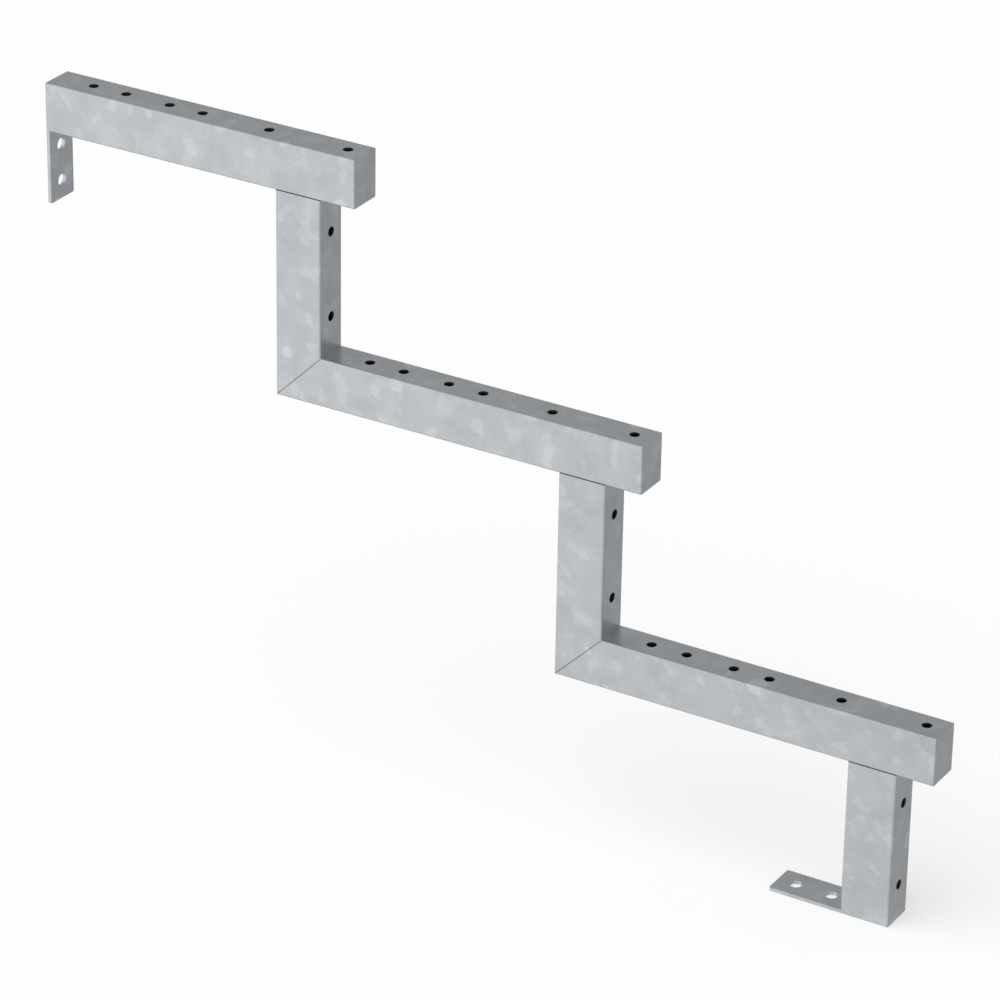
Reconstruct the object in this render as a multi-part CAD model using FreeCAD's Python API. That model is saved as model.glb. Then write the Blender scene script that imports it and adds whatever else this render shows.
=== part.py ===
import FreeCAD, Part
import math
import os

from FreeCAD import Vector

# A zig-zag stair stringer of galvanised box section, in millimetres.
# The origin is on the ground under the axis of the lowest riser, in the stringer's middle plane.
# +X runs down the stairs, +Y across the stringer and +Z up. Steps are counted from the lowest.

# The flight
STEPS = 3
GOING = 250.0            # from one nose to the next, level
RISE = 170.0             # from one tread top to the next, and from the ground to the first
NOSE_OVERHANG = 30.0     # how far a nose stands out past the riser under it

# The box section of every tread bearer and riser
TUBE_DEPTH = 40.0        # in the plane of the stringer
TUBE_WIDTH = 30.0        # across the stringer
TUBE_WALL = 2.0
TUBE_CORNER_OUT = 1.5
TUBE_CORNER_IN = 0.5

# The fine V that shows along each mitre on both sides of the stringer
MITRE_LINE_WIDTH = 0.8
MITRE_LINE_DEPTH = 0.6

# The flat bar of the nose caps, the wall plate and the foot plate
BAR_THICK = 3.0
BAR_EDGE = 0.5           # rounding of the edges on the outer face
LUG_LENGTH = 60.0        # how far a plate runs on past its tube

# The fixing holes in the two lugs
LUG_HOLE = 10.0          # diameter
LUG_HOLE_SETBACK = 15.0  # from the lug's free end
LUG_HOLE_PITCH = 30.0

# The screw holes in the top walls of the tread bearers and the front walls of the risers
SCREW_HOLE = 8.0         # diameter
REAR_PAIR_START = 35.0   # from the riser face, or the wall, to the first hole of the rear pair
REAR_PAIR_PITCH = 30.0
MIDDLE_PAIR_START = 105.0
MIDDLE_PAIR_PITCH = 30.0
NOSE_PAIR_SETBACK = 15.0  # from the nose to the last hole
NOSE_PAIR_PITCH = 70.0
RISER_HOLE_SETBACK = 30.0  # from the surface below and from the bearer above

# How far a cutting shape runs past the surface that it cuts
OVERRUN = 1.0


def tread_top(step):
    """Height of a step's tread bearer above the ground."""
    return RISE * step


def riser_face(step):
    """Where the front face of the riser under a step stands."""
    return TUBE_DEPTH / 2 - GOING * (step - 1)


def nose_end(step):
    """Where a step's nose ends."""
    return riser_face(step) + NOSE_OVERHANG


def tread_start(step):
    """Where a step's open tread begins: at the next riser's face or, on the top step, at the wall."""
    return riser_face(step + 1)


def rounded_outline(depth, width, corner):
    """A closed outline in the XY plane around the origin, with depth along X and width along Y."""
    arcs = []
    for quarter, (side_x, side_y) in enumerate(((1, 1), (-1, 1), (-1, -1), (1, -1))):
        centre = Vector(side_x * (depth / 2 - corner), side_y * (width / 2 - corner), 0)
        points = []
        for share in (0, 0.5, 1):
            angle = math.radians(90 * (quarter + share))
            points.append(centre + Vector(math.cos(angle), math.sin(angle), 0) * corner)
        arcs.append(points)
    edges = []
    for points, following in zip(arcs, arcs[1:] + arcs[:1]):
        edges.append(Part.Arc(*points).toShape())
        edges.append(Part.LineSegment(points[2], following[0]).toShape())
    return Part.Wire(edges)


def box_section(length):
    """An upright length of tube standing on the XY plane, around the Z axis."""
    outside = rounded_outline(TUBE_DEPTH, TUBE_WIDTH, TUBE_CORNER_OUT)
    inside = rounded_outline(TUBE_DEPTH - 2 * TUBE_WALL, TUBE_WIDTH - 2 * TUBE_WALL, TUBE_CORNER_IN)
    section = Part.makeFace([outside, inside], "Part::FaceMakerBullseye")
    return section.extrude(Vector(0, 0, length))


def lay_down(upright, start, height):
    """Turns an upright tube to run along +X from start, with its axis at the given height."""
    upright.rotate(Vector(0, 0, 0), Vector(0, 1, 0), 90)
    upright.translate(Vector(start, 0, height))
    return upright


def stand_up(upright, axis_x, foot):
    """Moves an upright tube to stand at axis_x, with its lower end at foot."""
    upright.translate(Vector(axis_x, 0, foot))
    return upright


def on_mitre(shape, step):
    """Tilts a shape from the XY plane onto the mitre at the rear of a step's tread."""
    shape.rotate(Vector(0, 0, 0), Vector(0, 1, 0), -45)
    shape.translate(Vector(tread_start(step), 0, tread_top(step)))
    return shape


def mitre_waste(step, side):
    """What a mitre cut takes off, as a block. side is 1 for the riser and -1 for the tread."""
    length = 4 * TUBE_DEPTH
    width = TUBE_WIDTH + 2 * OVERRUN
    height = 2 * TUBE_DEPTH
    low = -height if side > 0 else 0
    return on_mitre(Part.makeBox(length, width, height, Vector(-length / 2, -width / 2, low)), step)


def mitre_lines(step):
    """The fine V along the mitre on each side of the stringer, as two three-sided bars."""
    start = -2 * TUBE_DEPTH
    deep = TUBE_WIDTH / 2 - MITRE_LINE_DEPTH
    clear = TUBE_WIDTH / 2 + OVERRUN
    half = MITRE_LINE_WIDTH / 2 * (clear - deep) / MITRE_LINE_DEPTH
    bars = []
    for side in (1, -1):
        corners = [
            Vector(start, side * deep, 0),
            Vector(start, side * clear, half),
            Vector(start, side * clear, -half),
        ]
        outline = Part.makePolygon(corners + corners[:1])
        bars.append(on_mitre(Part.Face(outline).extrude(Vector(4 * TUBE_DEPTH, 0, 0)), step))
    return bars


def mitred(tube, step, side):
    """Cuts a tube on a step's mitre, with its half of the fine V. side is as for mitre_waste."""
    tube = tube.cut(mitre_waste(step, side))
    for bar in mitre_lines(step):
        tube = tube.cut(bar)
    return tube


def drilled(solid, places, direction, diameter, wall):
    """Drills holes through one wall. Each place is on the outer face, and direction points out of it."""
    depth = wall + 2 * OVERRUN
    for place in places:
        start = place - direction * (wall + OVERRUN)
        solid = solid.cut(Part.makeCylinder(diameter / 2, depth, start, direction))
    return solid


def tread_hole_places(step):
    """The screw holes on the centre line of a step's tread: a rear, a middle and a nose pair."""
    rear = tread_start(step) + REAR_PAIR_START
    middle = tread_start(step) + MIDDLE_PAIR_START
    last = nose_end(step) - NOSE_PAIR_SETBACK
    along = [
        rear, rear + REAR_PAIR_PITCH,
        middle, middle + MIDDLE_PAIR_PITCH,
        last - NOSE_PAIR_PITCH, last,
    ]
    return [Vector(x, 0, tread_top(step)) for x in along]


def riser_hole_places(step):
    """The two screw holes in the front face of the riser under a step."""
    low = tread_top(step - 1) + RISER_HOLE_SETBACK
    high = tread_top(step) - TUBE_DEPTH - RISER_HOLE_SETBACK
    return [Vector(riser_face(step), 0, z) for z in (low, high)]


def tread_bearer(step):
    """The level tube of a step, closed by the nose cap in front and by the riser or the wall plate behind."""
    top_step = step == STEPS
    start = tread_start(step) + BAR_THICK if top_step else tread_start(step) - TUBE_DEPTH
    length = nose_end(step) - BAR_THICK - start
    axis_height = tread_top(step) - TUBE_DEPTH / 2
    tube = lay_down(box_section(length), start, axis_height)
    if not top_step:
        tube = mitred(tube, step, -1)
    return drilled(tube, tread_hole_places(step), Vector(0, 0, 1), SCREW_HOLE, TUBE_WALL)


def riser(step):
    """The upright tube under a step, from the tread below, or the foot plate, to the tread bearer above."""
    lowest = step == 1
    foot = BAR_THICK if lowest else tread_top(step - 1) - TUBE_DEPTH
    length = tread_top(step) - TUBE_DEPTH - foot
    axis_x = riser_face(step) - TUBE_DEPTH / 2
    tube = stand_up(box_section(length), axis_x, foot)
    if not lowest:
        tube = mitred(tube, step - 1, 1)
    return drilled(tube, riser_hole_places(step), Vector(1, 0, 0), SCREW_HOLE, TUBE_WALL)


def bar_plate(length):
    """A plate of flat bar lying on the XY plane, length along X, with its outer face down and eased."""
    outline = rounded_outline(length, TUBE_WIDTH, TUBE_CORNER_OUT)
    plate = Part.Face(outline).extrude(Vector(0, 0, BAR_THICK))
    outer_edges = [edge for edge in plate.Edges if edge.BoundBox.ZMax < BAR_THICK / 2]
    return plate.makeFillet(BAR_EDGE, outer_edges)


def nose_cap(step):
    """The plate that closes the front end of a step's tread bearer."""
    cap = bar_plate(TUBE_DEPTH)
    cap.rotate(Vector(0, 0, 0), Vector(0, 1, 0), -90)
    cap.translate(Vector(nose_end(step), 0, tread_top(step) - TUBE_DEPTH / 2))
    return cap


def lug_plate():
    """A plate that closes a tube end around the origin and runs on past it along -X, with two holes."""
    plate = bar_plate(TUBE_DEPTH + LUG_LENGTH)
    plate.translate(Vector(-LUG_LENGTH / 2, 0, 0))
    free_end = -TUBE_DEPTH / 2 - LUG_LENGTH
    first = free_end + LUG_HOLE_SETBACK
    places = [Vector(first + LUG_HOLE_PITCH * index, 0, 0) for index in range(2)]
    return drilled(plate, places, Vector(0, 0, -1), LUG_HOLE, BAR_THICK)


def wall_plate():
    """The plate on the rear end of the top tread bearer, which hangs down the wall."""
    plate = lug_plate()
    plate.rotate(Vector(0, 0, 0), Vector(0, 1, 0), 90)
    plate.rotate(Vector(0, 0, 0), Vector(1, 0, 0), 180)
    plate.translate(Vector(tread_start(STEPS), 0, tread_top(STEPS) - TUBE_DEPTH / 2))
    return plate


def foot_plate():
    """The plate under the lowest riser, which runs back along the ground."""
    return lug_plate()


def build():
    """Every piece of the stringer by its name."""
    pieces = {}
    for step in range(1, STEPS + 1):
        pieces[f"tread_bearer_{step}"] = tread_bearer(step)
        pieces[f"riser_{step}"] = riser(step)
        pieces[f"nose_cap_{step}"] = nose_cap(step)
    pieces["wall_plate"] = wall_plate()
    pieces["foot_plate"] = foot_plate()
    return pieces


os.makedirs("parts", exist_ok=True)
for name, piece in build().items():
    solid = piece.Solids[0]
    solid.exportStep(f"parts/{name}.step")
    box = solid.BoundBox
    print(
        f"{name}: {len(piece.Solids)} solid, valid {solid.isValid()}, {solid.Volume:.0f} mm3,",
        f"x {box.XMin:.1f} to {box.XMax:.1f}, z {box.ZMin:.1f} to {box.ZMax:.1f}",
    )
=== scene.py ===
# %% [markdown]
# # A galvanised stair stringer
# A stringer carries the treads of a stair. This one is a zig-zag of steel box tube, mitred, welded and
# dipped in molten zinc. All of its form is already in the model that this scene loads: tubes, plates, holes
# and the fine joint lines. What is left for Blender is the zinc, the light that shows it, and the view. The
# model is a fixed frame in metres, so nothing here moves or reshapes it.

# %% Load the frame
import math

import bmesh
import bpy
from mathutils import Matrix, Vector


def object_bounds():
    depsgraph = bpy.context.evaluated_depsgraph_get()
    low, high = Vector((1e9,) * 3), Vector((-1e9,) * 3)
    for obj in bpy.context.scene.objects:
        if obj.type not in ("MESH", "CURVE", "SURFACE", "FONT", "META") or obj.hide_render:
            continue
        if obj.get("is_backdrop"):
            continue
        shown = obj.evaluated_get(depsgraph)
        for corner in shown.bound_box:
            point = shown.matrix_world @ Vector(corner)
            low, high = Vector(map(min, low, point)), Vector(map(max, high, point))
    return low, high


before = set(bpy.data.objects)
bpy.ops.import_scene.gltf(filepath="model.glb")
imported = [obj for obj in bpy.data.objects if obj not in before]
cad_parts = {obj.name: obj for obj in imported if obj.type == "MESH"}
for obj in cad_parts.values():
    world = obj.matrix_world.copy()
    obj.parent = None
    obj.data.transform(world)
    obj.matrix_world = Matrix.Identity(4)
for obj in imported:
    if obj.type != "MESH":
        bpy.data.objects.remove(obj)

cad_low, cad_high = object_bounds()
print("pieces:", ", ".join(sorted(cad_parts)))
print("size in metres:", [round(high - low, 3) for low, high in zip(cad_low, cad_high)])

# %% [markdown]
# ## Two small helpers
# Colours are easiest to read as the hex values of an image editor, but a shader works with linear light, so
# one function converts them. A second one adds a node, sets its properties, and then fills or links its
# inputs, so that each line of a material below reads as one step. The same could be done by hand in the
# shader editor, but a script can be read, repeated and changed.


# %% Colour and node helpers
def linear(hex_colour):
    """An sRGB hex colour such as #B9BDC0 as linear red, green, blue and alpha, by the sRGB curve."""
    channels = []
    for start in (1, 3, 5):
        value = int(hex_colour[start:start + 2], 16) / 255
        channels.append(value / 12.92 if value <= 0.04045 else ((value + 0.055) / 1.055) ** 2.4)
    return (*channels, 1.0)


def add(tree, kind, inputs=None, **settings):
    """Adds a node of a kind with its settings, and sets or links its inputs by name or number."""
    node = tree.nodes.new(kind)
    for name, value in settings.items():
        setattr(node, name, value)
    for key, value in (inputs or {}).items():
        if isinstance(value, bpy.types.NodeSocket):
            tree.links.new(value, node.inputs[key])
        else:
            node.inputs[key].default_value = value
    return node


print("a zinc grey in linear light:", [round(value, 3) for value in linear("#B9BDC0")[:3]])

# %% [markdown]
# ## Spangle
# The tubes come out of a bath of molten zinc. The coat freezes into grains, the spangle, and each grain
# mirrors the room a little differently, so a flat face looks faintly mottled: wide soft clouds, paler flakes
# with ragged edges, and a few round pale spots. A photograph of zinc could be laid over the tubes, but it
# would repeat, and it would stretch at the mitres. Noise on object coordinates runs on through every piece,
# as the real coat does, and takes its scale from a real size in millimetres. No grain has a smooth edge, so
# the first step is to let the coordinates stray a little.

# %% Ragged coordinates
STRAY_MM = 9.0  # from one bend of an edge to the next
STRAY_REACH_MM = 6.0


def per_metre(size_mm):
    """The texture scale that gives a pattern of a size in millimetres."""
    return 1000 / size_mm


def ragged(tree, place):
    """Coordinates that stray by a few millimetres, for patterns with an uneven edge."""
    stray = add(tree, "ShaderNodeTexNoise", {
        "Vector": place, "Scale": per_metre(STRAY_MM), "Detail": 2.0})
    strayed = add(tree, "ShaderNodeVectorMath", {
        0: stray.outputs["Color"], 1: (STRAY_REACH_MM / 1000,) * 3, 2: place}, operation="MULTIPLY_ADD")
    return strayed.outputs[0]


print("edges stray over about", STRAY_MM, "mm, by up to", STRAY_REACH_MM, "mm")

# %% [markdown]
# ## Flakes
# A flake is a patch of grains that lie alike, so it mirrors one part of the room and looks paler than the
# coat around it, with a crisp edge. A Voronoi texture would give straight-sided crystals, as on zinc sheet.
# Dipped tube shows irregular islands, so the flakes are the peaks of a noise, cut off at a level.

# %% Flakes
FLAKE_MM = 15.0
FLAKE_FROM = 0.55  # level of the noise at which a flake begins
FLAKE_FULL = 0.66  # level at which it is fully pale


def pale_flakes(tree, place):
    """1 on a flake and 0 off it, with a narrow step between."""
    peaks = add(tree, "ShaderNodeTexNoise", {
        "Vector": place, "Scale": per_metre(FLAKE_MM), "Detail": 3.0, "Roughness": 0.5})
    flakes = add(tree, "ShaderNodeMapRange", {
        "Value": peaks.outputs["Fac"], "From Min": FLAKE_FROM, "From Max": FLAKE_FULL},
        interpolation_type="SMOOTHSTEP")
    return flakes.outputs["Result"]


print("flakes where a noise of", FLAKE_MM, "mm is over", FLAKE_FROM)

# %% [markdown]
# ## Round spots
# Here and there the zinc froze outwards from one point and left a round pale spot. Spots could be painted one
# by one, but only for this one stringer. A Voronoi texture puts one centre in each cell of space, and two
# random numbers of that cell say how large its spot is, if it has one at all, and how pale.

# %% Round spots
SPOT_CELL_MM = 24.0
BARE_CELLS = 0.485  # share of the cells that hold no spot
SPOT_REACH = 0.34  # radius of the largest spot, as a share of a cell
SPOT_EDGE = 0.06  # width of a spot's soft edge, as a share of a cell


def round_spots(tree, place):
    """How pale the spots are: 0 between them, and up to 1 on a spot."""
    cells = add(tree, "ShaderNodeTexVoronoi", {"Vector": place, "Scale": per_metre(SPOT_CELL_MM)})
    luck = add(tree, "ShaderNodeSeparateColor", {"Color": cells.outputs["Color"]})
    reach = add(tree, "ShaderNodeMapRange", {
        "Value": luck.outputs["Red"], "From Min": BARE_CELLS, "To Max": SPOT_REACH})
    inside = add(tree, "ShaderNodeMath", {
        0: reach.outputs["Result"], 1: cells.outputs["Distance"]}, operation="SUBTRACT")
    disc = add(tree, "ShaderNodeMapRange", {
        "Value": inside.outputs[0], "From Max": SPOT_EDGE}, interpolation_type="SMOOTHSTEP")
    spots = add(tree, "ShaderNodeMath", {
        0: disc.outputs["Result"], 1: luck.outputs["Green"]}, operation="MULTIPLY")
    return spots.outputs[0]


print("largest spot:", round(2 * SPOT_REACH * SPOT_CELL_MM, 1), "mm across")

# %% [markdown]
# ## Paleness
# One number says how pale the coat is at a point, and both its tint and its gloss follow from it. Separate
# colours for each pattern would need more values and could drift apart. The number is a weighted sum: clouds
# that come from the thickness of the zinc, the flakes and spots, and a fine tooth.

# %% Paleness
CLOUD_MM = 22.0
PALE_START = -0.41  # what the sum starts from, so that the coat between the flakes is rather dull
CLOUD_WEIGHT = 0.80
FLAKE_WEIGHT = 0.24
SPOT_WEIGHT = 0.60
TOOTH_WEIGHT = 0.60


def paleness(tree, place, tooth):
    """How pale the coat is, about 0 to 1: the weighted sum of its patterns."""
    clouds = add(tree, "ShaderNodeTexNoise", {
        "Vector": place, "Scale": per_metre(CLOUD_MM), "Detail": 4.0, "Roughness": 0.6})
    strayed = ragged(tree, place)
    layers = (
        (clouds.outputs["Fac"], CLOUD_WEIGHT),
        (pale_flakes(tree, strayed), FLAKE_WEIGHT),
        (round_spots(tree, strayed), SPOT_WEIGHT),
        (tooth, TOOTH_WEIGHT),
    )
    pale = PALE_START
    for pattern, weight in layers:
        layer = add(tree, "ShaderNodeMath", {0: pattern, 1: weight, 2: pale}, operation="MULTIPLY_ADD")
        pale = layer.outputs[0]
    return pale


middling = PALE_START + (CLOUD_WEIGHT + TOOTH_WEIGHT) / 2
print("paleness between flakes and spots: about", round(middling, 2))

# %% [markdown]
# ## Hot-dip galvanised steel
# Zinc is bare metal. No paint or clear layer lies over it, so it shows the room through a soft grey blur. The
# shader is therefore fully metallic, and pale grains are a little smoother than dull ones. A very low bump is
# the tooth that breaks up the reflection. The finish goes into the material slots that the pieces already
# have, so their meshes stay as they are.

# %% Zinc coat
ZINC_DULL = linear("#AFB3B6")
ZINC_PALE = linear("#D4D8DB")
ROUGHNESS_DULL = 0.34
ROUGHNESS_PALE = 0.26
TOOTH_MM = 1.5  # under 0.5 mm on real zinc, too fine to show in the render, so it is drawn coarser
TOOTH_HEIGHT_MM = 0.2
TOOTH_STRENGTH = 0.05


def galvanised_steel():
    """Zinc frozen from the melt: to the eye a soft grey mirror, mottled by its grains."""
    material = bpy.data.materials.new("galvanised_steel")
    material.use_nodes = True
    tree = material.node_tree
    tree.nodes.clear()
    place = add(tree, "ShaderNodeTexCoord").outputs["Object"]
    tooth = add(tree, "ShaderNodeTexNoise", {
        "Vector": place, "Scale": per_metre(TOOTH_MM), "Detail": 2.0}).outputs["Fac"]
    pale = paleness(tree, place, tooth)
    # Several inputs of a Mix node share a name, so they are given by number.
    tint = add(tree, "ShaderNodeMix", {0: pale, 6: ZINC_DULL, 7: ZINC_PALE}, data_type="RGBA")
    roughness = add(tree, "ShaderNodeMapRange", {
        "Value": pale, "To Min": ROUGHNESS_DULL, "To Max": ROUGHNESS_PALE})
    bump = add(tree, "ShaderNodeBump", {
        "Height": tooth, "Strength": TOOTH_STRENGTH, "Distance": TOOTH_HEIGHT_MM / 1000})
    shader = add(tree, "ShaderNodeBsdfPrincipled", {
        "Base Color": tint.outputs[2], "Roughness": roughness.outputs["Result"], "Metallic": 1.0,
        "Normal": bump.outputs["Normal"]})
    add(tree, "ShaderNodeOutputMaterial", {"Surface": shader.outputs["BSDF"]})
    return material


zinc = galvanised_steel()
slots = [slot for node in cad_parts.values() for slot in node.material_slots]
for slot in slots:
    slot.material = zinc
print("zinc of", len(zinc.node_tree.nodes), "shader nodes in", len(slots), "material slots")

# %% [markdown]
# ## Floor paint
# The stringer stands on a plain pale floor, so that its foot has something to rest on and its shadow has
# somewhere to fall. Matt paint keeps the whole shadow and a glowing floor loses it, so this one is half of
# each, and the shadow stays but is faint. The glow answers only the rays that look at the floor, straight,
# mirrored or through glass, so it lights nothing.

# %% Floor paint
FLOOR_GLOW = 0.5  # share of the floor's light that is its own


def floor_paint():
    """Pale matt paint, half of it as bright to the eye as a white page."""
    material = bpy.data.materials.new("floor_paint")
    material.use_nodes = True
    tree = material.node_tree
    tree.nodes.clear()
    matt = add(tree, "ShaderNodeBsdfDiffuse", {"Color": linear("#FBFBFB")})
    ray = add(tree, "ShaderNodeLightPath")
    looking = add(tree, "ShaderNodeMath", {
        0: ray.outputs["Is Camera Ray"], 1: ray.outputs["Is Glossy Ray"]}, operation="ADD")
    looking = add(tree, "ShaderNodeMath", {
        0: looking.outputs[0], 1: ray.outputs["Is Transmission Ray"]}, operation="ADD", use_clamp=True)
    glow = add(tree, "ShaderNodeEmission", {"Strength": looking.outputs[0]})
    both = add(tree, "ShaderNodeMixShader", {
        0: FLOOR_GLOW, 1: matt.outputs["BSDF"], 2: glow.outputs["Emission"]})
    add(tree, "ShaderNodeOutputMaterial", {"Surface": both.outputs["Shader"]})
    return material


paint = floor_paint()
print("floor paint:", round(100 * FLOOR_GLOW), "percent glow")

# %% [markdown]
# ## Floor
# One large level square is enough, at the height of the foot plate's underside. A curved backdrop would hide
# the floor's far edge, but from above that edge is out of sight. The floor is left out of the zinc's mirror
# and doesn't shade it, because in the picture the tubes show a room that is bright in front and grey behind,
# and no white floor.

# %% Floor
FLOOR_SIZE = 60.0  # metres


def pale_floor():
    """A wide level floor under the foot plate."""
    shape = bmesh.new()
    bmesh.ops.create_grid(shape, x_segments=1, y_segments=1, size=FLOOR_SIZE / 2)
    bmesh.ops.translate(shape, vec=(0, 0, cad_low.z), verts=shape.verts)
    mesh = bpy.data.meshes.new("floor")
    shape.to_mesh(mesh)
    shape.free()
    mesh.materials.append(paint)
    floor = bpy.data.objects.new("floor", mesh)
    floor.visible_glossy = False
    floor.visible_shadow = False
    bpy.context.scene.collection.objects.link(floor)
    floor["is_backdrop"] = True
    return floor


floor = pale_floor()
print("floor:", FLOOR_SIZE, "m wide, at height", round(floor.data.vertices[0].co.z, 4))

# %% [markdown]
# ## Room
# Metal has no tone of its own: each face shows the part of the room that it mirrors. From this view the sides
# of the tubes mirror the room in front of them, and the tops and ends mirror the room behind. The sides look
# about twice as bright, so the room is bright in front, most at the left, and grey behind. A ring of lamps
# could give that, but each lamp would streak the rounded edges. A world whose strength changes slowly with
# direction leaves no streak.

# %% Room
ROOM_LEFT = 1.30  # strengths, where 1 is white
ROOM_RIGHT = 0.80
ROOM_BACK = 0.50
LEFT_TO_RIGHT = (-0.65, -0.25)  # where the front changes, along X in a direction of length 1
BACK_TO_FRONT = (0.3, -0.8)  # where the back becomes the front, along Y


def studio_room():
    """A soft room that is bright in front of the stringer, most at the left, and grey behind it."""
    world = bpy.data.worlds.new("studio_room")
    world.use_nodes = True
    tree = world.node_tree
    tree.nodes.clear()
    direction = add(tree, "ShaderNodeTexCoord").outputs["Generated"]
    parts = add(tree, "ShaderNodeSeparateXYZ", {"Vector": direction})
    front = add(tree, "ShaderNodeMapRange", {
        "Value": parts.outputs["X"], "From Min": LEFT_TO_RIGHT[0], "From Max": LEFT_TO_RIGHT[1],
        "To Min": ROOM_LEFT, "To Max": ROOM_RIGHT})
    ahead = add(tree, "ShaderNodeMapRange", {
        "Value": parts.outputs["Y"], "From Min": BACK_TO_FRONT[0], "From Max": BACK_TO_FRONT[1]},
        interpolation_type="SMOOTHSTEP")
    level = add(tree, "ShaderNodeMix", {
        0: ahead.outputs["Result"], 2: ROOM_BACK, 3: front.outputs["Result"]})
    light = add(tree, "ShaderNodeBackground", {
        "Color": linear("#FFFFFF"), "Strength": level.outputs[0]})
    add(tree, "ShaderNodeOutputWorld", {"Surface": light.outputs["Background"]})
    return world


bpy.context.scene.world = studio_room()
print("room: strength", ROOM_LEFT, "to", ROOM_RIGHT, "in front and", ROOM_BACK, "behind")

# %% [markdown]
# ## Lamp
# The room lights the floor from all sides and leaves hardly a shadow. One lamp from the front left, as wide
# to the eye as a large softbox, brings the floor to its white and lays a soft shadow behind the foot. It
# could be an area lamp, but a sun lamp lights the whole floor evenly. It isn't mirrored in the zinc, so the
# tubes keep their tone.

# %% Lamp
LAMP_DIRECTION = Vector((0.3, 0.5, -1.0))
LAMP_SPREAD = 60.0  # degrees
LAMP_STRENGTH = 1.4


def soft_lamp():
    """A wide soft lamp far away at the front left."""
    light = bpy.data.lights.new("soft_lamp", "SUN")
    light.angle = math.radians(LAMP_SPREAD)
    light.energy = LAMP_STRENGTH
    lamp = bpy.data.objects.new("soft_lamp", light)
    lamp.matrix_world = LAMP_DIRECTION.to_track_quat("-Z", "Y").to_matrix().to_4x4()
    lamp.visible_glossy = False
    bpy.context.scene.collection.objects.link(lamp)
    return lamp


lamp = soft_lamp()
print("lamp: strength", round(lamp.data.energy, 2), "and", LAMP_SPREAD, "degrees wide")

# %% [markdown]
# ## Camera
# The view is from the right of the front, well above, through a long lens, so the tubes hardly taper. The
# values come from matching the corners of the tubes to their places in the picture. The camera is also turned
# by about a degree about its own axis, which a tracking constraint couldn't give, so its matrix is built from
# the three angles.

# %% Camera
CAMERA_PLACE = Vector((1.3694, -2.895, 1.9486))  # metres
CAMERA_AZIMUTH = 30.398  # degrees to the right of the front
CAMERA_ELEVATION = 26.774  # degrees above level
CAMERA_ROLL = 0.975  # degrees about its own axis
LENS_MM = 179.48


def long_lens_camera():
    """The camera at the picture's place and angle."""
    azimuth = math.radians(CAMERA_AZIMUTH)
    elevation = math.radians(CAMERA_ELEVATION)
    forward = Vector((
        -math.sin(azimuth) * math.cos(elevation),
        math.cos(azimuth) * math.cos(elevation),
        -math.sin(elevation),
    ))
    turn = forward.to_track_quat("-Z", "Y").to_matrix().to_4x4()
    roll = Matrix.Rotation(math.radians(CAMERA_ROLL), 4, "Z")
    lens = bpy.data.cameras.new("long_lens_camera")
    lens.lens = LENS_MM
    lens.clip_end = 2 * FLOOR_SIZE
    camera = bpy.data.objects.new("long_lens_camera", lens)
    camera.matrix_world = Matrix.Translation(CAMERA_PLACE) @ turn @ roll
    bpy.context.scene.collection.objects.link(camera)
    return camera


bpy.context.scene.camera = long_lens_camera()
bpy.context.scene.view_settings.view_transform = "Standard"
middle = (cad_low + cad_high) / 2
print("camera:", round((CAMERA_PLACE - middle).length, 2), "m from the middle of the stringer")

# %% [markdown]
# ## Sizes
# The zinc adds no thickness, so the dressed model has to measure what the frame measured. The two boxes are
# compared and the largest change is printed, so that a slip in a later change shows at once.

# %% Compare the sizes and finish
seen_low, seen_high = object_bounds()
changes = [abs(a - b) for a, b in zip([*cad_low, *cad_high], [*seen_low, *seen_high])]
print("largest change of size:", max(changes))
